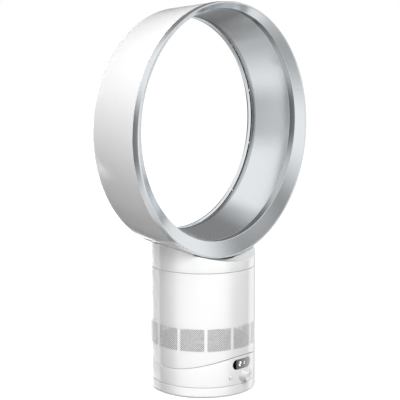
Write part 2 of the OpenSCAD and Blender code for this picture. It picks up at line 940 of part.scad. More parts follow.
// Point of an involute of base radius rb, unrolled by t degrees
function involute(rb, t) =
    [rb * (cos(t) + t * PI / 180 * sin(t)), rb * (sin(t) - t * PI / 180 * cos(t))];
// A point turned about the origin
function turn(p, a) = [p[0] * cos(a) - p[1] * sin(a), p[0] * sin(a) + p[1] * cos(a)];
// One flank of a tooth that is centred on the X axis, with play taken from it
function gear_tooth(n) =
    let (rp = tooth_m * n / 2, rb = rp * cos(pressure_angle), ra = rp + tooth_m * tooth_top_share,
        low = sqrt(max(0, pow((rp - tooth_m) / rb, 2) - 1)) * 180 / PI,
        top = sqrt(pow(ra / rb, 2) - 1) * 180 / PI,
        half = 90 / n - backlash / rp * 90 / PI + tan(pressure_angle) * 180 / PI - pressure_angle)
        [for (k = [0 : flank_steps]) turn(involute(rb, low + (top - low) * k / flank_steps), -half)];

module gear(n, h) {
    flank = gear_tooth(n);
    root = tooth_m * (n / 2 - tooth_root_share);
    foot = atan2(flank[0][1], flank[0][0]);
    tooth = concat([turn([root, 0], foot)], flank,
        [for (j = [flank_steps : -1 : 0]) [flank[j][0], -flank[j][1]]], [turn([root, 0], -foot)]);
    linear_extrude(height = h)
        polygon([for (k = [0 : n - 1]) for (p = tooth) turn(p, k * 360 / n)]);
}

module oscillation_pinion() {
    color("ivory") translate([0, gear_gap, 0]) {
        translate([0, 0, pinion_low]) rotate([0, 0, 90 + 180 / pinion_n])
            gear(pinion_n, pinion_t);
        rod(pinion_shaft_r, pinion_low + over, table_top + drive_h / 2 - pinion_low - 2 * over);
    }
}

module speed_knob() {
    face = body_r + knob_out;
    color("white") facing_front(row_z) {
        difference() {
            translate([0, 0, body_r + knob_gap])
                cylinder(h = knob_out - knob_gap, r1 = knob_r, r2 = knob_r * knob_face_share);
            rod(knob_r * dish_share, face - dish_d, dish_d + over);
        }
        rod(knob_shaft_r, body_in - knob_shaft_len + over, knob_shaft_len + shell_wall + knob_gap);
    }
}

// One push button at place x: head, retaining rim and plunger
module push_button(x) {
    skin = sqrt(pow(body_r, 2) - pow(button_x, 2));
    inside = sqrt(pow(body_in, 2) - pow(button_x + button_r + button_rim, 2));
    color("white") translate([x, 0, 0]) facing_front(row_z) {
        rod(button_r, inside - flange_gap - button_flange, skin + button_out - inside + flange_gap
            + button_flange);
        rod(button_r + button_rim, inside - flange_gap - button_flange, button_flange);
        rod(button_rim, board_y + button_travel + set_fit, inside - flange_gap - board_y - button_travel
            - set_fit - button_flange / 2);
    }
}

module power_button() {
    push_button(-button_x);
}

module oscillation_button() {
    push_button(button_x);
}

module foot_shell() {
    color("white") difference() {
        rotate_extrude() polygon(concat(
            [[0, foot_gap]], arc(body_r - foot_round, foot_gap + foot_round, foot_round, -90, 0),
            [[body_r, foot_top], [body_in, foot_top], [body_in, floor_top], [0, floor_top]]));
        ring(pad_out - pad_w - set_fit, pad_out + set_fit, 0, pad_h);
        post_screw_places() {
            rod(thread_r, 0, foot_top);
            rod(screw_head_r + set_fit, 0, foot_gap + screw_head_h);
        }
        translate([-inlet_w / 2 - set_fit, body_in - over, floor_top])
            cube([inlet_w + 2 * set_fit, body_r, inlet_t + 2 * set_fit]);
    }
}

module post_screw_places() {
    round_z(4, 45) translate([post_screw_r, 0, 0]) children();
}

module ballast_plate() {
    color("gray") difference() {
        ring(ballast_in, fill_r - foot_round, floor_top, ballast_t);
        translate([-inlet_w, body_in - inlet_deep - over, 0]) cube([2 * inlet_w, body_r, foot_top]);
    }
}

module rubber_ring() {
    color("dimgray") ring(pad_out - pad_w, pad_out, 0, pad_h);
}

module pivot_post() {
    color("gray") difference() {
        union() {
            rod(flange_r, floor_top, flange_t);
            rod(post_r, floor_top, post_top - floor_top);
        }
        rod(post_bore, floor_top - over, post_top);
        post_screw_places() rod(thread_r, floor_top - over, flange_t + 2 * over);
        cap_screws() rod(thread_r, post_top - cap_r / 2, cap_r);
    }
}

module post_screws() {
    color("silver") post_screw_places() {
        rod(screw_head_r, foot_gap + set_fit, screw_head_h - set_fit);
        rod(screw_r, foot_gap + over, shell_wall + flange_t - over - set_fit);
    }
}

module cap_screws() {
    round_z(cap_screw_n) translate([cap_screw_r, 0, 0]) children();
}

module fixed_gear() {
    color("ivory") translate([0, 0, gear_low]) difference() {
        gear(gear_n, gear_t);
        rod(post_r + run_fit, -over, gear_t + 2 * over);
    }
}

module bearing_ring() {
    color("ivory") ring(ring_r, ring_r + ring_w, floor_top + ballast_t, table_low - floor_top - ballast_t);
}

module retainer_washer() {
    color("silver") difference() {
        ring(post_bore, cap_r, post_top, cap_t);
        cap_screws() rod(thread_r, post_top - over, cap_t + 2 * over);
    }
}

module retainer_screws() {
    color("silver") cap_screws() {
        rod(screw_head_r, post_top + cap_t, screw_head_h);
        rod(screw_r, post_top - cap_r / 2 + over, cap_r / 2 + cap_t);
    }
}

module power_inlet() {
    color("black") difference() {
        translate([-inlet_w / 2, body_in - inlet_deep + shell_wall, floor_top])
            cube([inlet_w, inlet_deep - set_fit, inlet_t]);
        translate([0, 0, floor_top + inlet_t / 2]) rotate([-90, 0, 0])
            rod(socket_r, body_r - pin_len, body_r);
    }
}

module inlet_pin() {
    color("silver") translate([0, 0, floor_top + inlet_t / 2]) rotate([-90, 0, 0])
        rod(pin_r, body_r - pin_len, pin_len - over);
}

loop_outer_shell();
loop_neck();
loop_bezel();
loop_duct();
slot_spacers();
neck_collar();
body_shell();
inlet_grille();
body_floor();
tilt_rails();
rail_screws();
inlet_foam();
impeller_housing();
housing_seal();
outlet_foam();
diffuser_vanes();
bucket_lower();
bucket_upper();
motor_stator();
motor_coils();
lower_bearing();
upper_bearing();
lock_ring();
neck_seal();
impeller();
motor_shaft();
motor_rotor();
base_shell();
tilt_cradle();
wear_strips();
turntable();
base_screws();
display_window();
display_board();
display_digits();
control_board();
switch_housings();
knob_encoder();
oscillation_motor();
motor_screws();
oscillation_pinion();
speed_knob();
power_button();
oscillation_button();
foot_shell();
ballast_plate();
rubber_ring();
pivot_post();
post_screws();
fixed_gear();
bearing_ring();
retainer_washer();
retainer_screws();
power_inlet();
inlet_pin();
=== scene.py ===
"""Looks of a desk fan with a hollow air loop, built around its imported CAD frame.

Sizes are in millimetres until a mesh is made. +Z is up and the front is -Y. On the loop, a depth is
measured from the base's axis towards the front, and an angle from the loop's top.
"""

import json
import math

import bmesh
import bpy
import numpy as np
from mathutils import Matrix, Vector


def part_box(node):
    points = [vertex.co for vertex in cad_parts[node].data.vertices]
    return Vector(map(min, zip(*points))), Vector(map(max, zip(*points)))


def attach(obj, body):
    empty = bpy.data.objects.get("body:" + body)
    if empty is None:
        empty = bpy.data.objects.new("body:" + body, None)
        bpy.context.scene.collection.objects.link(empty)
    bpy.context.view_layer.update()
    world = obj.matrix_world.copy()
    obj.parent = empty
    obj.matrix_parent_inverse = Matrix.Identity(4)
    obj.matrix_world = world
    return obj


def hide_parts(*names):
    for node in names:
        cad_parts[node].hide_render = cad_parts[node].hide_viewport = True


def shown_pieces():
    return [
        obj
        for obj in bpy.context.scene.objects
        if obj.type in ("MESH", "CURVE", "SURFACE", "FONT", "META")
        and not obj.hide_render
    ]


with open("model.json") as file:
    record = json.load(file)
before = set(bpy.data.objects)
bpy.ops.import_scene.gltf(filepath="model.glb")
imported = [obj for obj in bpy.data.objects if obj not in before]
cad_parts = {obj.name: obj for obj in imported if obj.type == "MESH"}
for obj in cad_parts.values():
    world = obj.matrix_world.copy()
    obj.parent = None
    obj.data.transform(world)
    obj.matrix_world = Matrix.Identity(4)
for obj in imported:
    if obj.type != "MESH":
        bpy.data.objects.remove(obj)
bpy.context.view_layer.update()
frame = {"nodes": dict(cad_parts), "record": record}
nodes = frame["nodes"]

MM = 0.001
CREASE = math.radians(32)

# Loop
loop_r = 178
loop_z = 370
inner_rise = 7
loop_rear = 45.4
rear_r = 170
rear_round = 3
rear_wall = 2.9
shell_wall = 2.5
band_h = 38.3
band_t = 2.2
lip_top = 48.7
mouth_r = 161.9
flare_h = 38.4
flare_wall = 1.6
guide_h = 28.4
sleeve_r = 164.2
sleeve_end = 23.4
collar_t = 1.6
tongue_r = 175
tongue_t = 1.4
tongue_len = 4
duct_wall = 2.2
throat_share = 0.03
curl_x = 160.2
curl_y = -32.2
curl_r = 9
curl_end = 65
slot_w = 1.3
lip_r = 151
lip_edge = 1
lip_start = 50
lip_t = 1.2
lip_sunk = 0.5

# Neck, body and base
body_r = 75
body_in = 72.5
neck_low = 177.3
body_top = 176.7
rim_r = 179
neck_gap = 0.1
neck_port = 50
tilt_z = 217.1
seam_upper = 177.7
seam_lower = 178.3
inlet_low = 66
inlet_high = 99
panel_n = 12
pillar_w = 3
panel_gap = 0.1
panel_r = 74.8
inlet_foam_in = 16
outlet_foam_in = 59.1
foam_wave = 0.2
panel_t = 0.4
hole_d = 1.55
hole_pitch = 2.0
base_low = 15.1
foot_top = 14.5
foot_gap = 1.2
foot_round = 1.5
floor_top = 3.7
pad_in = 60.9
pad_out = 70.1
pad_h = 2.2
foot_screw_place = 16
foot_screw_r = 2.5
foot_screw_top = 3
inlet_half = 6.1
inlet_h = 7.4

# Controls
row_z = 26
knob_r = 7.5
knob_back = 75.4
knob_face = 85
face_r = 6
dish_r = 4.1
dish_d = 0.6
dish_slope = 0.4
knob_axis_r = 0.5
shaft_r = 3
shaft_back = 64.6
button_x = 21.5
button_r = 2.75
button_gap = 0.4
button_out = 1.2
button_back = 68
button_axis_r = 0.3
window_z = 43.7
window_w = 37
window_h = 14.5
glass_front = 74.9
glass_back = 74.4
film_front = 74.3
film_back = 73.8
digit_front = 74.36
digit_back = 74.2
digits_shown = (("2", -4.4), ("1", 2.9))
digit_w = 5.4
digit_h = 6.6
stroke = 1.8
stroke_gap = 0.1
digit_lean = 6
cut_near = 60
cut_far = 80

# Small radii of moulded edges
seam_edge = 0.5
fine_edge = 0.25
soft_edge = 0.3
inside_edge = 1
rim_inner_edge = 0.4
mouth_edge = 1.2
collar_edge = 0.6
saddle_edge = 1.1
knob_edge = 0.9
button_edge = 0.5
half_round_gap = 0.01

LOOP_STEPS = 512
BODY_STEPS = 360
ARC_STEPS = 6


def turn_angles(steps):
    """Angles of a full turn, without the last, which is the first again."""
    return np.linspace(0, 2 * math.pi, steps, endpoint=False)


def on_loop(r, h, rise, angles):
    """Points at radius r and depth h, on a circle whose centre is raised by rise."""
    return np.stack(
        [r * np.sin(angles), -h + 0 * angles, loop_z + rise + r * np.cos(angles)], -1
    )


def upright(r, z, angles):
    """Points at radius r and height z about the base's axis. Angle 0 is the front."""
    return np.stack([r * np.sin(angles), -r * np.cos(angles), z + 0 * angles], -1)


def unit(v):
    """Vectors of length one."""
    return v / np.linalg.norm(v, axis=-1, keepdims=True)


def rounded(corners, steps=ARC_STEPS):
    """Closed outlines, one a column, through corners given as (points, radius), each corner an arc."""
    n = len(corners)
    rows = []
    for k, (point, radius) in enumerate(corners):
        if not radius:
            rows.append(point)
            continue
        to_last = unit(corners[k - 1][0] - point)
        to_next = unit(corners[(k + 1) % n][0] - point)
        cos_angle = np.clip((to_last * to_next).sum(-1, keepdims=True), -1, 1)
        half = np.arccos(cos_angle) / 2
        centre = point + unit(to_last + to_next) * radius / np.sin(half)
        first = point + to_last * radius / np.tan(half) - centre
        last = point + to_next * radius / np.tan(half) - centre
        swing = math.pi - 2 * half
        for step in range(steps + 1):
            share = step / steps
            a = np.sin((1 - share) * swing) / np.sin(swing)
            b = np.sin(share * swing) / np.sin(swing)
            rows.append(centre + a * first + b * last)
    return np.stack(rows, 1)


def ring_faces(columns, rows, skip=lambda i, j: False):
    """Faces of a closed band of closed outlines."""
    faces = []
    for i in range(columns):
        for j in range(rows):
            if not skip(i, j):
                a, b = i * rows, (i + 1) % columns * rows
                faces.append((a + j, b + j, b + (j + 1) % rows, a + (j + 1) % rows))
    return faces


def finished_mesh(name, points, faces):
    """Mesh in metres from points in millimetres, normals outward, smooth between creases."""
    mesh = bpy.data.meshes.new(name)
    mesh.from_pydata((np.asarray(points, float) * MM).tolist(), [], faces)
    work = bmesh.new()
    work.from_mesh(mesh)
    bmesh.ops.remove_doubles(work, verts=work.verts, dist=1e-7)
    bmesh.ops.recalc_face_normals(work, faces=work.faces)
    work.to_mesh(mesh)
    work.free()
    smooth(mesh)
    return mesh


def smooth(mesh):
    """Smooth shading with sharp edges where the faces meet at more than CREASE."""
    mesh.polygons.foreach_set("use_smooth", [True] * len(mesh.polygons))
    mesh.set_sharp_from_angle(angle=CREASE)


def add(name, points, faces, body, slot, replaced=(), material=None):
    """A new piece that rides on a body, takes its finish from a slot and stands for CAD nodes."""
    obj = bpy.data.objects.new(name, finished_mesh(name, points, faces))
    bpy.context.scene.collection.objects.link(obj)
    obj.data.materials.append(material or finish[slot])
    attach(obj, body)
    if replaced:
        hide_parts(*replaced)
    return obj


def add_ring(name, corners, body, slot, replaced=(), skip=lambda i, j: False, extra=()):
    """A piece swept from closed outlines."""
    outline = rounded(corners)
    columns, rows = outline.shape[:2]
    faces = ring_faces(columns, rows, skip) + list(extra)
    return add(name, outline.reshape(-1, 3), faces, body, slot, replaced)


def cut(obj, cutters):
    """Takes the cutters out of a piece for good."""
    for cutter in cutters:
        bpy.context.scene.collection.objects.link(cutter)
        change = obj.modifiers.new("cut", "BOOLEAN")
        change.operation = "DIFFERENCE"
        change.solver = "EXACT"
        change.object = cutter
    shapes = bpy.context.evaluated_depsgraph_get()
    mesh = bpy.data.meshes.new_from_object(obj.evaluated_get(shapes))
    obj.modifiers.clear()
    obj.data = mesh
    for cutter in cutters:
        bpy.data.objects.remove(cutter)
    smooth(mesh)


def prism(name, outline, near, far, upward=False):
    """An object to cut with: an outline drawn out forward between depths, or upward between heights."""
    n = len(outline)
    points = [
        (x, y, level) if upward else (x, -level, y)
        for level in (near, far)
        for x, y in outline
    ]
    faces = [tuple(range(n)), tuple(range(2 * n - 1, n - 1, -1))]
    faces += [(k, (k + 1) % n, n + (k + 1) % n, n + k) for k in range(n)]
    return bpy.data.objects.new(name, finished_mesh(name, points, faces))


def circle(x, z, r, steps=48):
    """Outline of a circle about (x, z)."""
    return [(x + r * math.cos(a), z + r * math.sin(a)) for a in turn_angles(steps)]


def obround(w, h, z, steps=24):
    """Outline of an obround about (0, z)."""
    straight = (w - h) / 2
    points = []
    for side, first in ((straight, -math.pi / 2), (-straight, math.pi / 2)):
        for k in range(steps + 1):
            a = first + math.pi * k / steps
            points.append((side + h / 2 * math.cos(a), z + h / 2 * math.sin(a)))
    return points


# Materials


def new_material(name):
    """Empty node material with its Principled shader."""
    made = bpy.data.materials.new(name)
    made.use_nodes = True
    return made, made.node_tree, made.node_tree.nodes["Principled BSDF"]


def spread(tree, source, low, high):
    """A value that runs from low to high as the source runs from 0.3 to 0.7."""
    ramp = tree.nodes.new("ShaderNodeMapRange")
    tree.links.new(source, ramp.inputs["Value"])
    ramp.inputs["From Min"].default_value = 0.3
    ramp.inputs["From Max"].default_value = 0.7
    ramp.inputs["To Min"].default_value = low
    ramp.inputs["To Max"].default_value = high
    return ramp.outputs["Result"]


def blend_colours(tree, factor, first, second):
    """A colour between two."""
    mix = tree.nodes.new("ShaderNodeMix")
    mix.data_type = "RGBA"
    tree.links.new(factor, mix.inputs[0])
    mix.inputs[6].default_value = (*first, 1)
    mix.inputs[7].default_value = (*second, 1)
    return mix.outputs[2]


def noise(tree, scale, detail=2, stretch=None):
    """Noise over the piece's own coordinates, stretched along an axis if asked."""
    place = tree.nodes.new("ShaderNodeTexCoord")
    where = place.outputs["Object"]
    if stretch:
        squeeze = tree.nodes.new("ShaderNodeMapping")
        squeeze.inputs["Scale"].default_value = stretch
        tree.links.new(where, squeeze.inputs["Vector"])
        where = squeeze.outputs["Vector"]
    made = tree.nodes.new("ShaderNodeTexNoise")
    made.inputs["Scale"].default_value = scale
    made.inputs["Detail"].default_value = detail
    tree.links.new(where, made.inputs["Vector"])
    return made.outputs["Fac"]


def bump(tree, shader, height, strength, distance):
    """Relief of the surface from a height."""
    made = tree.nodes.new("ShaderNodeBump")
    made.inputs["Strength"].default_value = strength
    made.inputs["Distance"].default_value = distance
    tree.links.new(height, made.inputs["Height"])
    tree.links.new(made.outputs["Normal"], shader.inputs["Normal"])


def shaded(colour, share):
    """A colour made lighter or darker by a share."""
    return tuple(min(1.0, c * (1 + share)) for c in colour)


def surface(
    name,
    colour,
    rough,
    metallic=0.0,
    tone_scale=60,
    tone_share=0.015,
    rough_share=0.12,
    relief_scale=900,
    relief=0.04,
    relief_depth=0.00005,
    stretch=None,
    sockets=None,
):
    """Material with slow changes of tone, uneven roughness and a fine relief."""
    made, tree, shader = new_material(name)
    shader.inputs["Metallic"].default_value = metallic
    for key, value in (sockets or {}).items():
        shader.inputs[key].default_value = value
    tone = noise(tree, tone_scale, 3, stretch)
    tinted = blend_colours(
        tree, tone, shaded(colour, -tone_share), shaded(colour, tone_share)
    )
    tree.links.new(tinted, shader.inputs["Base Color"])
    rough_change = spread(
        tree,
        noise(tree, tone_scale * 3, 2, stretch),
        rough * (1 - rough_share),
        rough * (1 + rough_share),
    )
    tree.links.new(rough_change, shader.inputs["Roughness"])
    bump(tree, shader, noise(tree, relief_scale, 2, stretch), relief, relief_depth)
    return made


def board_material():
    """Green board with a woven look and paler tracks."""
    made, tree, shader = new_material("circuit_board")
    place = tree.nodes.new("ShaderNodeTexCoord")
    tracks = tree.nodes.new("ShaderNodeTexBrick")
    tracks.inputs["Scale"].default_value = 260
    tracks.inputs["Mortar Size"].default_value = 0.03
    tracks.inputs["Color1"].default_value = (0.03, 0.16, 0.07, 1)
    tracks.inputs["Color2"].default_value = (0.04, 0.2, 0.09, 1)
    tracks.inputs["Mortar"].default_value = (0.1, 0.33, 0.16, 1)
    tree.links.new(place.outputs["Object"], tracks.inputs["Vector"])
    tree.links.new(tracks.outputs["Color"], shader.inputs["Base Color"])
    tree.links.new(
        spread(tree, noise(tree, 700), 0.3, 0.42), shader.inputs["Roughness"]
    )
    bump(tree, shader, tracks.outputs["Fac"], 0.3, 0.00003)
    return made


def foam_material():
    """Open dark foam: cells with painted shade, darker in their pits."""
    made, tree, shader = new_material("open_foam")
    place = tree.nodes.new("ShaderNodeTexCoord")
    cells = tree.nodes.new("ShaderNodeTexVoronoi")
    cells.inputs["Scale"].default_value = 900
    tree.links.new(place.outputs["Object"], cells.inputs["Vector"])
    # Painted shade: the tint follows the relief, darker where the pits sink
    tint = blend_colours(
        tree, cells.outputs["Distance"], (0.015, 0.015, 0.017), (0.07, 0.07, 0.075)
    )
    tree.links.new(tint, shader.inputs["Base Color"])
    tree.links.new(
        spread(tree, cells.outputs["Distance"], 0.85, 1.0), shader.inputs["Roughness"]
    )
    bump(tree, shader, cells.outputs["Distance"], 0.8, 0.0004)
    return made


def winding_material():
    """Enamelled copper wire lying side by side, with painted shade darker in the grooves between turns.
    """
    made, tree, shader = new_material("copper_winding")
    place = tree.nodes.new("ShaderNodeTexCoord")
    turns = tree.nodes.new("ShaderNodeTexWave")
    turns.bands_direction = "Z"
    turns.inputs["Scale"].default_value = 260
    turns.inputs["Distortion"].default_value = 1.5
    tree.links.new(place.outputs["Object"], turns.inputs["Vector"])
    # Painted shade: the colour follows the relief, darker where the turns dip
    tint = blend_colours(tree, turns.outputs["Fac"], (0.25, 0.09, 0.04), (0.66, 0.3, 0.15))
    tree.links.new(tint, shader.inputs["Base Color"])
    shader.inputs["Metallic"].default_value = 0.85
    tree.links.new(
        spread(tree, noise(tree, 800), 0.28, 0.4), shader.inputs["Roughness"]
    )
    bump(tree, shader, turns.outputs["Fac"], 0.6, 0.0002)
    return made


def display_film():
    """Film behind the glass: black at its left end, then a painted reflection that grows paler and
    glows towards the right.
    """
    made, tree, shader = new_material("display_film")
    place = tree.nodes.new("ShaderNodeTexCoord")
    axes = tree.nodes.new("ShaderNodeSeparateXYZ")
    tree.links.new(place.outputs["Object"], axes.inputs["Vector"])
    along = tree.nodes.new("ShaderNodeMapRange")
    along.inputs["From Min"].default_value = -window_w / 2 * MM
    along.inputs["From Max"].default_value = window_w / 2 * MM
    tree.links.new(axes.outputs["X"], along.inputs["Value"])
    ramp = tree.nodes.new("ShaderNodeValToRGB")
    tree.links.new(along.outputs["Result"], ramp.inputs["Fac"])
    stops = ramp.color_ramp.elements
    stops[0].position, stops[0].color = 0.18, (0.001, 0.001, 0.001, 1)
    stops[1].position, stops[1].color = 1.0, (0.42, 0.42, 0.43, 1)
    for place_share, level in ((0.2, 0.11), (0.5, 0.2), (0.8, 0.33)):
        grey = stops.new(place_share)
        grey.color = (level, level, level * 1.03, 1)
    # Painted reflection: the ramp from black to pale grey, paler to the right, is both the colour and
    # the glow
    tree.links.new(ramp.outputs["Color"], shader.inputs["Base Color"])
    tree.links.new(ramp.outputs["Color"], shader.inputs["Emission Color"])
    shader.inputs["Emission Strength"].default_value = 0.7
    shader.inputs["Specular IOR Level"].default_value = 0.0
    tree.links.new(
        spread(tree, noise(tree, 500), 0.45, 0.55), shader.inputs["Roughness"]
    )
    bump(tree, shader, noise(tree, 1500), 0.05, 0.00002)
    return made


def glowing(name, colour, strength):
    """Lit digits with a faint unevenness."""
    made, tree, shader = new_material(name)
    tint = blend_colours(tree, noise(tree, 900), shaded(colour, -0.05), colour)
    tree.links.new(tint, shader.inputs["Base Color"])
    tree.links.new(tint, shader.inputs["Emission Color"])
    shader.inputs["Emission Strength"].default_value = strength
    tree.links.new(
        spread(tree, noise(tree, 1200), 0.5, 0.6), shader.inputs["Roughness"]
    )
    return made


finish = {
    "white_gloss": surface(
        "white_gloss_plastic",
        (0.86, 0.86, 0.865),
        0.11,
        tone_scale=25,
        tone_share=0.006,
        relief_scale=260,
        relief=0.02,
    ),
    "silver_paint": surface(
        "silver_paint",
        (0.765, 0.795, 0.815),
        0.15,
        metallic=1.0,
        tone_scale=4000,
        tone_share=0.02,
        rough_share=0.2,
        relief_scale=5000,
        relief=0.05,
        relief_depth=0.00002,
    ),
    "grey_grille": surface(
        "grille_plastic",
        (0.84, 0.84, 0.845),
        0.22,
        tone_scale=40,
        relief_scale=700,
        relief=0.03,
    ),
    "black_window": surface(
        "smoked_glass",
        (0.01, 0.01, 0.012),
        0.05,
        tone_scale=30,
        relief_scale=200,
        relief=0.01,
        sockets={"Alpha": 0.12, "Specular IOR Level": 0.1},
    ),
    "inner_plastic": surface(
        "inner_plastic", (0.16, 0.16, 0.165), 0.5, relief_scale=1200, relief=0.15
    ),
    "gear_plastic": surface(
        "acetal", (0.78, 0.76, 0.69), 0.34, relief_scale=900, relief=0.08
    ),
    "board": board_material(),
    "dark_plastic": surface(
        "dark_plastic", (0.03, 0.03, 0.032), 0.42, relief_scale=1500, relief=0.3
    ),
    "rubber": surface(
        "black_rubber",
        (0.022, 0.022, 0.024),
        0.68,
        tone_share=0.12,
        relief_scale=1100,
        relief=0.35,
    ),
    "foam": foam_material(),
    "steel": surface(
        "plated_steel",
        (0.6, 0.6, 0.61),
        0.28,
        metallic=1.0,
        tone_scale=300,
        tone_share=0.05,
        relief_scale=900,
        relief=0.15,
        stretch=(1, 1, 12),
    ),
    "iron": surface(
        "cast_iron",
        (0.2, 0.2, 0.21),
        0.6,
        metallic=0.8,
        tone_share=0.15,
        relief_scale=500,
        relief=0.6,
        relief_depth=0.0002,
    ),
    "copper": winding_material(),
    "digits": glowing("lit_digits", (0.93, 0.95, 1.0), 1.3),
}

# Darker copy of the silver paint, for painted shade on the duct's throat and curl and on the guide ring
painted_shade_silver = surface(
    "silver_paint_painted_shade",
    (0.48, 0.5, 0.515),
    0.15,
    metallic=1.0,
    tone_scale=4000,
    tone_share=0.02,
    rough_share=0.2,
    relief_scale=5000,
    relief=0.05,
    relief_depth=0.00002,
)

for entry in frame["record"]["subparts"]:
    obj = nodes[entry["node"]]
    obj.data.materials.clear()
    obj.data.materials.append(finish[entry["material_slot"]])

# Loop: outer shell, bezel and duct

around = turn_angles(LOOP_STEPS)


def loop_corner(r, h, rise=0, radius=0):
    """One corner of a loop outline."""
    return on_loop(r, h, rise, around), radius


def curl_points(r, first, last, steps=16):
    """Corners along the curl behind the duct's throat, from one angle to another."""
    made = []
    for k in range(steps + 1):
        a = math.radians(180 + first + (last - first) * k / steps)
        made.append(
            loop_corner(curl_x + r * math.cos(a), curl_y + r * math.sin(a), inner_rise)
        )
    return made


duct_reach = math.hypot(mouth_r - curl_x, guide_h - curl_y)
duct_taper = math.degrees(
    math.atan((mouth_r - curl_x) / (guide_h - curl_y)) + math.asin(curl_r / duct_reach)
)

add_ring(
    "loop_shell",
    [
        loop_corner(loop_r - shell_wall, band_h, 0, fine_edge),
        loop_corner(loop_r, band_h, 0, fine_edge),
        loop_corner(rear_r, -loop_rear, 0, rear_round),
        loop_corner(lip_r + lip_t, -loop_rear, inner_rise),
        loop_corner(lip_r + lip_t, rear_wall - loop_rear, inner_rise),
        loop_corner(rear_r - shell_wall, rear_wall - loop_rear, 0, inside_edge),
    ],
    "loop",
    "white_gloss",
    ["loop_outer_shell"],
)

# Rear lip, silver like the duct, with the slot's outer wall
add_ring(
    "loop_rear_lip",
    [
        loop_corner(lip_r + lip_t, -loop_rear, inner_rise),
        loop_corner(lip_r, -loop_rear, inner_rise, lip_edge),
        loop_corner(lip_r, rear_wall - loop_rear, inner_rise, fine_edge),
        *curl_points(curl_r + slot_w, lip_start, 90),
        loop_corner(curl_x, rear_wall - loop_rear - lip_sunk, inner_rise),
        loop_corner(lip_r + lip_t, rear_wall - loop_rear - lip_sunk, inner_rise),
    ],
    "loop",
    "silver_paint",
)


def paint_shade(obj, chosen):
    """Painted shade: a darker copy of the silver on chosen faces, by their centre's radius about the
    inner circles and its depth.
    """
    obj.data.materials.append(painted_shade_silver)
    for face in obj.data.polygons:
        x, y, z = face.center / MM
        if chosen(math.hypot(x, z - loop_z - inner_rise), -y):
            face.material_index = 1


band = add_ring(
    "loop_band",
    [
        loop_corner(loop_r, band_h, 0, fine_edge),
        loop_corner(loop_r, lip_top, 0, band_t / 2 - half_round_gap),
        loop_corner(loop_r - band_t, lip_top, 0, band_t / 2 - half_round_gap),
        loop_corner(loop_r - band_t, lip_top - band_t / 2, 0, rim_inner_edge),
        loop_corner(mouth_r, flare_h, inner_rise, mouth_edge),
        loop_corner(mouth_r, guide_h, inner_rise, fine_edge),
        loop_corner(sleeve_r, guide_h, inner_rise),
        loop_corner(sleeve_r, sleeve_end, inner_rise),
        loop_corner(sleeve_r + collar_t, sleeve_end, inner_rise),
        loop_corner(sleeve_r + collar_t, flare_h - flare_wall, inner_rise, collar_edge),
        loop_corner(tongue_r - tongue_t, lip_top - 1.5 * band_t - 2 * flare_wall, 0),
        loop_corner(tongue_r - tongue_t, band_h - tongue_len, 0),
        loop_corner(tongue_r, band_h - tongue_len, 0),
        loop_corner(tongue_r, band_h, 0),
    ],
    "loop",
    "silver_paint",
    ["loop_bezel"],
)
# Painted shade on the guide ring between the flare and the duct
paint_shade(band, lambda r, h: r < mouth_r + fine_edge and guide_h < h < flare_h)

# Duct, with painted shade in darker silver from a little before its throat to the end of its curl
taper = math.radians(duct_taper)
curl_first = (curl_x - curl_r * math.cos(taper), curl_y + curl_r * math.sin(taper))
throat_r, throat_h = (
    first + (last - first) * throat_share
    for first, last in zip(curl_first, (mouth_r, guide_h))
)
duct = add_ring(
    "loop_air_duct",
    [
        loop_corner(mouth_r + duct_wall, guide_h, inner_rise),
        loop_corner(mouth_r, guide_h, inner_rise, fine_edge),
        loop_corner(throat_r, throat_h, inner_rise),
        *curl_points(curl_r, -duct_taper, curl_end, 24),
        *curl_points(curl_r - duct_wall, curl_end, -duct_taper, 24),
    ],
    "loop",
    "silver_paint",
    ["loop_duct"],
)
paint_shade(duct, lambda r, h: h < throat_h)

# Neck with its saddle under the loop

breaks = [math.acos(band_h / body_r), math.acos(-loop_rear / body_r)]
neck_half = np.unique(
    np.concatenate([np.linspace(0, math.pi, BODY_STEPS // 2 + 1), breaks])
)
neck_angles = np.concatenate([neck_half, 2 * math.pi - neck_half[-2:0:-1]])


def saddle_top(r, angles):
    """Height of the neck's top at radius r: under the rim, the loop's cone or its rear edge."""
    x = r * np.sin(angles)
    depth = r * np.cos(angles)
    slope = (loop_r - rear_r) / (band_h + loop_rear)
    cone = loop_r + neck_gap - slope * (band_h - depth)
    over = np.where(depth > band_h, rim_r, cone)
    over = np.where(depth < -loop_rear, rear_r + neck_gap, over)
    return loop_z - np.sqrt(over**2 - x**2)


def neck_corner(r, lift, radius=0, angles=neck_angles):
    """One corner of the neck's outline, lift above or below its top."""
    return upright(r, saddle_top(r, angles) + lift, angles), radius


skin_radii = np.linspace(body_r, neck_port, 12)[1:]
inner_radii = np.linspace(neck_port, body_in, 12)
neck = add_ring(
    "neck_shell",
    [
        (upright(body_in, neck_low, neck_angles), 0),
        (upright(body_r, neck_low, neck_angles), seam_edge),
        neck_corner(body_r, 0, saddle_edge),
        *[neck_corner(r, 0) for r in skin_radii],
        *[neck_corner(r, -shell_wall) for r in inner_radii],
    ],
    "loop",
    "white_gloss",
    ["loop_neck"],
)

# Body: upper drum with the windows of the inlet
window_half = math.asin(
    (2 * body_r * math.sin(math.pi / panel_n) - pillar_w) / (2 * body_r)
)
window_steps = 24
pillar_steps = 2
columns = []
in_window = []
for k in range(panel_n):
    middle = 2 * math.pi * k / panel_n
    for step in range(window_steps):
        columns.append(middle + window_half * (2 * step / window_steps - 1))
        in_window.append(True)
    strip = 2 * math.pi / panel_n - 2 * window_half
    for step in range(pillar_steps):
        columns.append(middle + window_half + strip * step / pillar_steps)
        in_window.append(False)
body_angles = np.array(columns)


def seam_z(r, drum, angles):
    """Height of the tilt seam at radius r, on a drum about the tilt axis."""
    return tilt_z - np.sqrt(drum**2 - (r * np.cos(angles)) ** 2)


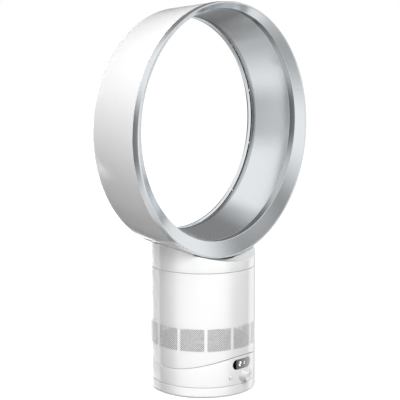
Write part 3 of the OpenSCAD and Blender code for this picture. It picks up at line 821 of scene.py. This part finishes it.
body_outline = rounded(
    [
        (upright(body_in, seam_z(body_in, seam_upper, body_angles), body_angles), 0),
        (
            upright(body_r, seam_z(body_r, seam_upper, body_angles), body_angles),
            seam_edge,
        ),
        (upright(body_r, inlet_low, body_angles), 0),
        (upright(body_r, inlet_high, body_angles), 0),
        (upright(body_r, body_top, body_angles), seam_edge),
        (upright(body_in, body_top, body_angles), 0),
        (upright(body_in, inlet_high, body_angles), 0),
        (upright(body_in, inlet_low, body_angles), 0),
    ]
)
rows = body_outline.shape[1]
outer_low = 1 + ARC_STEPS + 1
outer_high = outer_low + 1
inner_high = rows - 2
inner_low = rows - 1
body_faces = ring_faces(
    len(body_angles),
    rows,
    lambda i, j: in_window[i] and j in (outer_low, inner_high),
)
for i, open_here in enumerate(in_window):
    a, b = i * rows, (i + 1) % len(body_angles) * rows
    if open_here:
        for outer, inner in ((outer_low, inner_low), (outer_high, inner_high)):
            body_faces.append((a + outer, b + outer, b + inner, a + inner))
    if open_here != in_window[i - 1]:
        body_faces.append(
            (a + outer_low, a + outer_high, a + inner_high, a + inner_low)
        )
add(
    "body_drum",
    body_outline.reshape(-1, 3),
    body_faces,
    "body",
    "white_gloss",
    ["body_shell"],
)

# Inlet: sheets with real holes on a diagonal lattice, which ends in teeth at the pillars

panel_w = 2 * (body_r * window_half - panel_gap)
panel_h = inlet_high - inlet_low - 2 * panel_gap
across_n = 2 * round(panel_w / hole_pitch / math.sqrt(2))
up_n = 2 * round(panel_h / hole_pitch / math.sqrt(2))
step_x = panel_w / across_n
step_z = panel_h / up_n


def panel_mesh():
    """One sheet as flat (across, height, depth) points and faces: holes in square cells on edge."""
    points = []
    faces = []
    index = {}

    def at(across, height, depth):
        key = (round(across, 5), round(height, 5), depth)
        if key not in index:
            index[key] = len(points)
            points.append(key)
        return index[key]

    def node(i, j):
        return -panel_w / 2 + i * step_x, inlet_low + panel_gap + j * step_z

    def cell(i, j):
        """Eight points round a lattice cell, from its right corner, those inside the sheet."""
        ways = ((1, 0), (0.5, 0.5), (0, 1), (-0.5, 0.5), (-1, 0), (-0.5, -0.5), (0, -1), (0.5, -0.5))
        inside = [(i + u, j + v) for u, v in ways]
        return [node(u, v) for u, v in inside if 0 <= u <= across_n and 0 <= v <= up_n]

    for depth in (0, panel_t):
        for i in range(across_n + 1):
            for j in range(up_n + 1):
                if (i + j) % 2 == 0:
                    continue
                border = cell(i, j)
                if len(border) < 8:
                    faces.append([at(*corner, depth) for corner in border])
                    continue
                x, z = node(i, j)
                hole = [
                    (x + hole_d / 2 * math.cos(a), z + hole_d / 2 * math.sin(a))
                    for a in turn_angles(8)
                ]
                for s in range(8):
                    t = (s + 1) % 8
                    faces.append(
                        [
                            at(*border[s], depth),
                            at(*border[t], depth),
                            at(*hole[t], depth),
                            at(*hole[s], depth),
                        ]
                    )
                    if depth == 0:
                        faces.append(
                            [
                                at(*hole[s], 0),
                                at(*hole[t], 0),
                                at(*hole[t], panel_t),
                                at(*hole[s], panel_t),
                            ]
                        )
    return points, faces


flat_points, flat_faces = panel_mesh()
edge_use = {}
for face in flat_faces:
    for k, corner in enumerate(face):
        pair = tuple(sorted((corner, face[(k + 1) % len(face)])))
        edge_use[pair] = edge_use.get(pair, 0) + 1
twin = {point: k for k, point in enumerate(flat_points)}
for (a, b), used in list(edge_use.items()):
    if used == 1 and flat_points[a][2] == 0:
        back = [twin[(*flat_points[k][:2], panel_t)] for k in (b, a)]
        flat_faces.append([a, b, *back])
flat = np.array(flat_points)
panel_points = []
panel_faces = []
for k in range(panel_n):
    angles = 2 * math.pi * k / panel_n + flat[:, 0] / body_r
    radius = panel_r - flat[:, 2]
    base = len(panel_points)
    panel_points += np.stack(
        [radius * np.sin(angles), -radius * np.cos(angles), flat[:, 1]], -1
    ).tolist()
    panel_faces += [[base + corner for corner in face] for face in flat_faces]
add(
    "inlet_panels",
    panel_points,
    panel_faces,
    "body",
    "grey_grille",
    ["inlet_grille"],
)

# Base and foot

base_angles = turn_angles(BODY_STEPS)


def base_corner(r, z, radius=0):
    """One corner of the base's or the foot's outline."""
    return upright(r, z, base_angles), radius


base = add_ring(
    "base_drum",
    [
        base_corner(body_in, base_low),
        base_corner(body_r, base_low, seam_edge),
        base_corner(body_r, seam_z(body_r, seam_lower, base_angles), seam_edge),
        base_corner(body_in, seam_z(body_in, seam_lower, base_angles)),
    ],
    "base",
    "white_gloss",
    ["base_shell"],
)
window_hole = obround(window_w + 2 * panel_gap, window_h + 2 * panel_gap, window_z)
button_hole = button_r + button_gap
cut(
    base,
    [
        prism("display_cut", window_hole, cut_near, cut_far),
        prism("knob_cut", circle(0, row_z, shaft_r + panel_gap), cut_near, cut_far),
        prism("power_cut", circle(-button_x, row_z, button_hole), cut_near, cut_far),
        prism("turn_cut", circle(button_x, row_z, button_hole), cut_near, cut_far),
    ],
)

# The bottom has a groove for the rubber ring

foot_outline = [
    base_corner(1, foot_gap),
    base_corner(pad_in, foot_gap, fine_edge),
    base_corner(pad_in, pad_h),
    base_corner(pad_out, pad_h),
    base_corner(pad_out, foot_gap, fine_edge),
    base_corner(body_r, foot_gap, foot_round),
    base_corner(body_r, foot_top, seam_edge),
    base_corner(body_in, foot_top, fine_edge),
    base_corner(body_in, floor_top, inside_edge),
    base_corner(1, floor_top),
]
foot_rows = rounded(foot_outline).shape[1]
foot = add_ring(
    "foot_pan",
    foot_outline,
    "foot",
    "white_gloss",
    ["foot_shell"],
    lambda i, j: j == foot_rows - 1,
    [
        tuple(i * foot_rows for i in range(BODY_STEPS)),
        tuple(i * foot_rows + foot_rows - 1 for i in range(BODY_STEPS)),
    ],
)
screw_angles = [math.pi * (k + 0.5) / 2 for k in range(4)]
cut(
    foot,
    [
        prism(
            f"foot_screw_cut_{k}",
            circle(
                foot_screw_place * math.cos(a), foot_screw_place * math.sin(a), foot_screw_r
            ),
            0,
            foot_screw_top,
            True,
        )
        for k, a in enumerate(screw_angles)
    ]
    + [
        prism(
            "inlet_cut",
            [
                (-inlet_half, body_in - 1),
                (inlet_half, body_in - 1),
                (inlet_half, body_r + 1),
                (-inlet_half, body_r + 1),
            ],
            floor_top,
            floor_top + inlet_h,
            True,
        ),
    ],
)

# Display: a film with a painted reflection behind the glass, and seven-segment digits on it, all bent
# to the base's round


def bent(x, z, r):
    """Point at x and z on the front of a cylinder about the base's axis."""
    return x, -math.sqrt(r**2 - x**2), z


def bent_obround(w, h, z, back, front, columns=64):
    """Points and faces of an obround plate between two radii."""
    straight = (w - h) / 2
    points = []
    for k in range(columns + 1):
        x = -w / 2 * math.cos(math.pi * k / columns)
        round_part = max(0, abs(x) - straight)
        half = math.sqrt(max(0, (h / 2) ** 2 - round_part**2))
        points += [
            bent(x, z + side * half, r) for r, side in ((front, -1), (front, 1), (back, 1), (back, -1))
        ]
    faces = []
    for k in range(columns):
        for j in range(4):
            a, b = 4 * k + j, 4 * k + (j + 1) % 4
            faces.append((a, a + 4, b + 4, b))
    return points, faces


add(
    "display_glass",
    *bent_obround(window_w, window_h, window_z, glass_back, glass_front),
    "base",
    "black_window",
    ["display_window"],
)
# Film with a painted reflection, paler and glowing to the right
add(
    "display_film",
    *bent_obround(window_w, window_h, window_z, film_back, film_front),
    "base",
    "black_window",
    material=display_film(),
)

SEGMENTS = {"2": "top right_up middle left_down bottom", "1": "right_up right_down"}


def segment(kind):
    """Six-sided outline of one segment of a digit, about the digit's centre."""
    across = digit_w / 2 - stroke / 2
    up = digit_h / 2 - stroke / 2
    level = kind in ("top", "middle", "bottom")
    x, z = {
        "top": (0, up),
        "middle": (0, 0),
        "bottom": (0, -up),
        "right_up": (across, up / 2),
        "right_down": (across, -up / 2),
        "left_down": (-across, -up / 2),
    }[kind]
    half = (across if level else up / 2) - stroke_gap
    wide = stroke / 2
    points = [
        (-half, 0),
        (wide - half, wide),
        (half - wide, wide),
        (half, 0),
        (half - wide, -wide),
        (wide - half, -wide),
    ]
    slant = math.tan(math.radians(digit_lean))
    made = []
    for along, off in points:
        u, v = (along, off) if level else (off, along)
        made.append((x + u + (z + v) * slant, z + v))
    return made


digit_points = []
digit_faces = []
for digit, centre in digits_shown:
    for kind in SEGMENTS[digit].split():
        outline = segment(kind)
        n = len(outline)
        base_n = len(digit_points)
        for r in (digit_back, digit_front):
            digit_points += [bent(centre + x, window_z + z, r) for x, z in outline]
        around_once = [(k, (k + 1) % n, n + (k + 1) % n, n + k) for k in range(n)]
        for face in (tuple(range(n)), tuple(range(2 * n - 1, n - 1, -1)), *around_once):
            digit_faces.append([base_n + corner for corner in face])
add("lit_digits", digit_points, digit_faces, "base", "digits", ["display_digits"])

# Foams: crowned rings with a slightly uneven skin


def foam_ring(name, node, r_in, rows=32):
    """A foam ring in the CAD solid's place."""
    low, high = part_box(node)
    r_out = high.x / MM - foam_wave
    bottom, top = low.z / MM, high.z / MM - foam_wave
    outline = []
    for k in range(rows):
        t = 2 * math.pi * k / rows
        r = (r_in + r_out) / 2 + (r_out - r_in) / 2 * softened(math.cos(t))
        z = (bottom + top) / 2 + (top - bottom) / 2 * softened(math.sin(t))
        wave = foam_wave * np.sin(7 * base_angles + 3 * t) * np.sin(11 * base_angles)
        outline.append(upright(r, z + wave * max(0, math.sin(t)), base_angles))
    points = np.stack(outline, 1)
    faces = ring_faces(BODY_STEPS, rows)
    made = add(name, points.reshape(-1, 3), faces, "body", "foam", [node])


def softened(x, share=0.35):
    """Sine or cosine of a boxy round outline."""
    return math.copysign(abs(x) ** share, x)


foam_ring("inlet_pad", "inlet_foam", inlet_foam_in)
foam_ring("outlet_pad", "outlet_foam", outlet_foam_in)

# Knob and buttons


def turned(name, outline, x, body, slot, replaced, steps=96):
    """A closed piece turned about an axis along Y, at height row_z, from (radius, depth, rounding)."""
    angles = turn_angles(steps)
    corners = []
    for r, depth, radius in outline:
        ring = np.stack(
            [x + r * np.sin(angles), -depth + 0 * angles, row_z + r * np.cos(angles)],
            -1,
        )
        corners.append((ring, radius))
    outline_rows = rounded(corners)
    n, m = outline_rows.shape[:2]
    faces = ring_faces(n, m, lambda i, j: j == m - 1)
    faces.append(tuple(i * m for i in range(n)))
    faces.append(tuple(i * m + m - 1 for i in range(n)))
    return add(name, outline_rows.reshape(-1, 3), faces, body, slot, replaced)


turned(
    "knob",
    [
        (knob_axis_r, knob_face - dish_d, 0),
        (dish_r - dish_slope, knob_face - dish_d, soft_edge),
        (dish_r, knob_face, fine_edge),
        (face_r, knob_face, knob_edge),
        (knob_r, knob_back, soft_edge),
        (shaft_r, knob_back, 0),
        (shaft_r, shaft_back, soft_edge),
        (knob_axis_r, shaft_back, 0),
    ],
    0,
    "knob",
    "white_gloss",
    ["speed_knob"],
)
button_skin = math.sqrt(body_r**2 - button_x**2)
for name, x, body, node in (
    ("power_key_cap", -button_x, "power_key", "power_button"),
    ("turn_key_cap", button_x, "oscillation_key", "oscillation_button"),
):
    turned(
        name,
        [
            (button_axis_r, button_skin + button_out, 0),
            (button_r, button_skin + button_out, button_edge),
            (button_r, button_back, 0),
            (button_axis_r, button_back, 0),
        ],
        x,
        body,
        "white_gloss",
        [node],
        64,
    )

# Camera at the photograph's view

camera = bpy.data.objects.new("camera", bpy.data.cameras.new("camera"))
bpy.context.scene.collection.objects.link(camera)
camera.location = (-1.2274, -1.1045, 0.5083)
camera.rotation_mode = "QUATERNION"
camera.rotation_quaternion = Vector((0.7339, 0.6640, -0.1434)).to_track_quat("-Z", "Y")
camera.data.sensor_width = 36
camera.data.lens = 105.32
camera.data.clip_start = 0.05
camera.data.clip_end = 100
bpy.context.scene.camera = camera

# Studio: white for what is seen directly or mirrored, softer for what lights the object

world = bpy.data.worlds.new("studio")
bpy.context.scene.world = world
world.use_nodes = True
tree = world.node_tree
tree.nodes.clear()
path = tree.nodes.new("ShaderNodeLightPath")
seen = path.outputs["Is Camera Ray"]
for other in ("Is Glossy Ray", "Is Transmission Ray"):
    most = tree.nodes.new("ShaderNodeMath")
    most.operation = "MAXIMUM"
    tree.links.new(seen, most.inputs[0])
    tree.links.new(path.outputs[other], most.inputs[1])
    seen = most.outputs[0]
soft = tree.nodes.new("ShaderNodeBackground")
soft.inputs["Strength"].default_value = 0.14
plain = tree.nodes.new("ShaderNodeBackground")
plain.inputs["Strength"].default_value = 1.0
for back in (soft, plain):
    back.inputs["Color"].default_value = (1, 1, 1, 1)
chosen = tree.nodes.new("ShaderNodeMixShader")
tree.links.new(seen, chosen.inputs[0])
tree.links.new(soft.outputs[0], chosen.inputs[1])
tree.links.new(plain.outputs[0], chosen.inputs[2])
out = tree.nodes.new("ShaderNodeOutputWorld")
tree.links.new(chosen.outputs[0], out.inputs["Surface"])

aim = Vector((0, 0, 0.25))


def direction(azimuth, elevation):
    """Unit vector from the object. Azimuth 0 is the front and 90 is +X."""
    a, e = math.radians(azimuth), math.radians(elevation)
    return Vector((math.sin(a) * math.cos(e), -math.cos(a) * math.cos(e), math.sin(e)))


def lamp(name, azimuth, elevation, level, size=1.6, distance=3.0, target=aim, receivers=None):
    """Square soft lamp, for the receivers alone if they are given.

    A white face square to it renders at the level, as far as this lamp goes."""
    data = bpy.data.lights.new(name, "AREA")
    data.size = size
    data.energy = level * (math.pi * distance) ** 2
    obj = bpy.data.objects.new(name, data)
    bpy.context.scene.collection.objects.link(obj)
    way = direction(azimuth, elevation)
    obj.location = target + way * distance
    obj.rotation_mode = "QUATERNION"
    obj.rotation_quaternion = way.to_track_quat("Z", "Y")
    obj.visible_glossy = False
    if receivers:
        obj.light_linking.receiver_collection = receivers


# The knob and the buttons have a lamp of their own, and the rear lamp leaves the floor out
necks = bpy.data.collections.new("neck_pieces")
necks.objects.link(neck)
controls = bpy.data.collections.new("control_pieces")
not_controls = bpy.data.collections.new("all_but_controls")
for name in ("knob", "power_key_cap", "turn_key_cap"):
    controls.objects.link(bpy.data.objects[name])
    not_controls.objects.link(bpy.data.objects[name])
for entry in not_controls.collection_objects:
    entry.light_linking.link_state = "EXCLUDE"
lamp("key_lamp", -26, 30, 0.79, receivers=not_controls)
lamp("control_lamp", 12, 46, 0.95, receivers=controls)
lamp("top_left_lamp", -100, 50, 0.56, 0.8, 1.3, Vector((0, 0, loop_z * MM)))
lamp("left_lamp", -97, 9, 0.07)
lamp("neck_lamp", -120, 0, 0.12, receivers=necks)
lamp("back_lamp", 98, 25, 0.1)
not_floor = bpy.data.collections.new("all_but_floor")
lamp("rear_lamp", 138, 8, 0.55, receivers=not_floor)


def ramp(x, low, high):
    """0 below low, 1 above high, smooth between."""
    t = min(1.0, max(0.0, (x - low) / (high - low)))
    return t * t * (3 - 2 * t)


def feathered(x, low, high, soft_low, soft_high):
    """1 between low and high, fading to 0 outside over its own distance at each end."""
    return ramp(x, low - soft_low, low) * (1 - ramp(x, high, high + soft_high))


def card(name, across, up, value, glow=False, receivers=None):
    """A card far away, seen only in mirrors, over ranges of azimuth and elevation.

    It lets the value of the light behind it through, or with glow adds the value to it."""
    far = 6.0
    n = 40
    points = []
    values = []
    for i in range(n + 1):
        for j in range(n + 1):
            azimuth = across[0] + (across[1] - across[0]) * i / n
            elevation = up[0] + (up[1] - up[0]) * j / n
            points.append(aim + direction(azimuth, elevation) * far)
            values.append(value(azimuth, elevation))
    faces = []
    for i in range(n):
        for j in range(n):
            a = i * (n + 1) + j
            faces.append((a, a + n + 1, a + n + 2, a + 1))
    mesh = bpy.data.meshes.new(name)
    mesh.from_pydata(points, [], faces)
    mesh.attributes.new("value", "FLOAT", "POINT").data.foreach_set("value", values)
    made = bpy.data.materials.new(name)
    made.use_nodes = True
    tree = made.node_tree
    tree.nodes.clear()
    read = tree.nodes.new("ShaderNodeAttribute")
    read.attribute_name = "value"
    clear = tree.nodes.new("ShaderNodeBsdfTransparent")
    result = clear.outputs[0]
    if glow:
        light = tree.nodes.new("ShaderNodeEmission")
        tree.links.new(read.outputs["Fac"], light.inputs["Strength"])
        both = tree.nodes.new("ShaderNodeAddShader")
        tree.links.new(clear.outputs[0], both.inputs[0])
        tree.links.new(light.outputs[0], both.inputs[1])
        result = both.outputs[0]
    else:
        tree.links.new(read.outputs["Fac"], clear.inputs["Color"])
    end = tree.nodes.new("ShaderNodeOutputMaterial")
    tree.links.new(result, end.inputs["Surface"])
    mesh.materials.append(made)
    obj = bpy.data.objects.new(name, mesh)
    bpy.context.scene.collection.objects.link(obj)
    obj.visible_camera = False
    obj.visible_diffuse = False
    obj.visible_shadow = False
    obj.visible_transmission = False
    obj.visible_volume_scatter = False
    if receivers:
        obj.light_linking.receiver_collection = receivers


whites = bpy.data.collections.new("white_pieces")
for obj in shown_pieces():
    pale = any(m in (finish["white_gloss"], finish["grey_grille"]) for m in obj.data.materials)
    if pale and obj.name not in controls.objects:
        whites.objects.link(obj)

pole = 89.9


def flag(name, azimuth, elevation, half_w, half_h, level, edge=0.7):
    """A grey card with soft edges about a direction."""

    def value(a, e):
        u = 1 - abs(a - azimuth) / half_w
        v = 1 - abs(e - elevation) / half_h
        return 1 - (1 - level) * ramp(u, 0, edge) * ramp(v, 0, edge)

    card(
        name,
        (azimuth - half_w, azimuth + half_w),
        (max(-pole, elevation - half_h), min(pole, elevation + half_h)),
        value,
    )


flag("flag_front", 28, 19, 42, 17, 0.27)
flag("flag_behind", 138, 35, 64, 52, 0.27)
flag("flag_behind_low", 134, -32, 30, 28, 0.29)
flag("flag_left", -163, -5, 87, 38, 0.22, 0.75)
flag("flag_left_low", 158, -43, 34, 35, 0.52)
flag("flag_right_low", 15, -57, 72, 36, 0.66)
flag("flag_front_low", 0, -43, 50, 37, 0.65)
flag("flag_under", 170, -89, 106, 69, 0.56)
card(
    "strip_right",
    (70, 116),
    (-60, 30),
    lambda a, e: 1.5 * (1 - ramp(a, 84, 114)) * feathered(e, -24, 0, 25, 25),
    True,
    whites,
)
card(
    "strip_left",
    (140, 203),
    (-60, 30),
    lambda a, e: 6.9 * ((a - 140) / 63) ** 0.15 * feathered(e, -20, 0, 8, 25),
    True,
    whites,
)
card(
    "front_box",
    (-130, 32),
    (-60, 40),
    lambda a, e: 3.8 * feathered(a, -98, -8, 30, 36) * feathered(e, -35, 10, 20, 25),
    True,
    whites,
)

# Floor: white to the camera with the object's shadow and a painted contact shadow under the foot, grey
# to what lights the object

floor_mesh = bpy.data.meshes.new("floor")
half = 8.0
drop = 0.0001
floor_mesh.from_pydata(
    [(-half, -half, -drop), (half, -half, -drop), (half, half, -drop), (-half, half, -drop)],
    [],
    [(0, 1, 2, 3)],
)
floor = bpy.data.objects.new("floor", floor_mesh)
bpy.context.scene.collection.objects.link(floor)
floor.visible_glossy = False
not_floor.objects.link(floor)
not_floor.collection_objects[0].light_linking.link_state = "EXCLUDE"
made = bpy.data.materials.new("floor")
made.use_nodes = True
tree = made.node_tree
tree.nodes.clear()
grey = tree.nodes.new("ShaderNodeBsdfDiffuse")
grey.inputs["Color"].default_value = (0.4, 0.4, 0.4, 1)
pale = tree.nodes.new("ShaderNodeBsdfDiffuse")
pale.inputs["Color"].default_value = (0.6, 0.6, 0.6, 1)
place = tree.nodes.new("ShaderNodeTexCoord")
away = tree.nodes.new("ShaderNodeVectorMath")
away.operation = "LENGTH"
tree.links.new(place.outputs["Object"], away.inputs[0])
rise = tree.nodes.new("ShaderNodeMapRange")
rise.inputs["From Min"].default_value = 0.1
rise.inputs["From Max"].default_value = 0.9
rise.inputs["To Min"].default_value = 0.8
rise.inputs["To Max"].default_value = 1.0
tree.links.new(away.outputs["Value"], rise.inputs["Value"])
# Painted contact shadow: the floor's glow drops to less than half under the foot and at its edge
outside = tree.nodes.new("ShaderNodeMapRange")
outside.inputs["From Min"].default_value = (body_r - 1) * MM
outside.inputs["From Max"].default_value = (body_r + 1) * MM
outside.inputs["To Min"].default_value = 0.45
tree.links.new(away.outputs["Value"], outside.inputs["Value"])
share = tree.nodes.new("ShaderNodeMath")
share.operation = "MULTIPLY"
tree.links.new(rise.outputs["Result"], share.inputs[0])
tree.links.new(outside.outputs["Result"], share.inputs[1])
lift = tree.nodes.new("ShaderNodeEmission")
tree.links.new(share.outputs[0], lift.inputs["Strength"])
both = tree.nodes.new("ShaderNodeAddShader")
tree.links.new(pale.outputs[0], both.inputs[0])
tree.links.new(lift.outputs[0], both.inputs[1])
path = tree.nodes.new("ShaderNodeLightPath")
chosen = tree.nodes.new("ShaderNodeMixShader")
tree.links.new(path.outputs["Is Camera Ray"], chosen.inputs[0])
tree.links.new(grey.outputs[0], chosen.inputs[1])
tree.links.new(both.outputs[0], chosen.inputs[2])
out = tree.nodes.new("ShaderNodeOutputMaterial")
tree.links.new(chosen.outputs[0], out.inputs["Surface"])
floor_mesh.materials.append(made)

bpy.context.scene.view_settings.view_transform = "Standard"
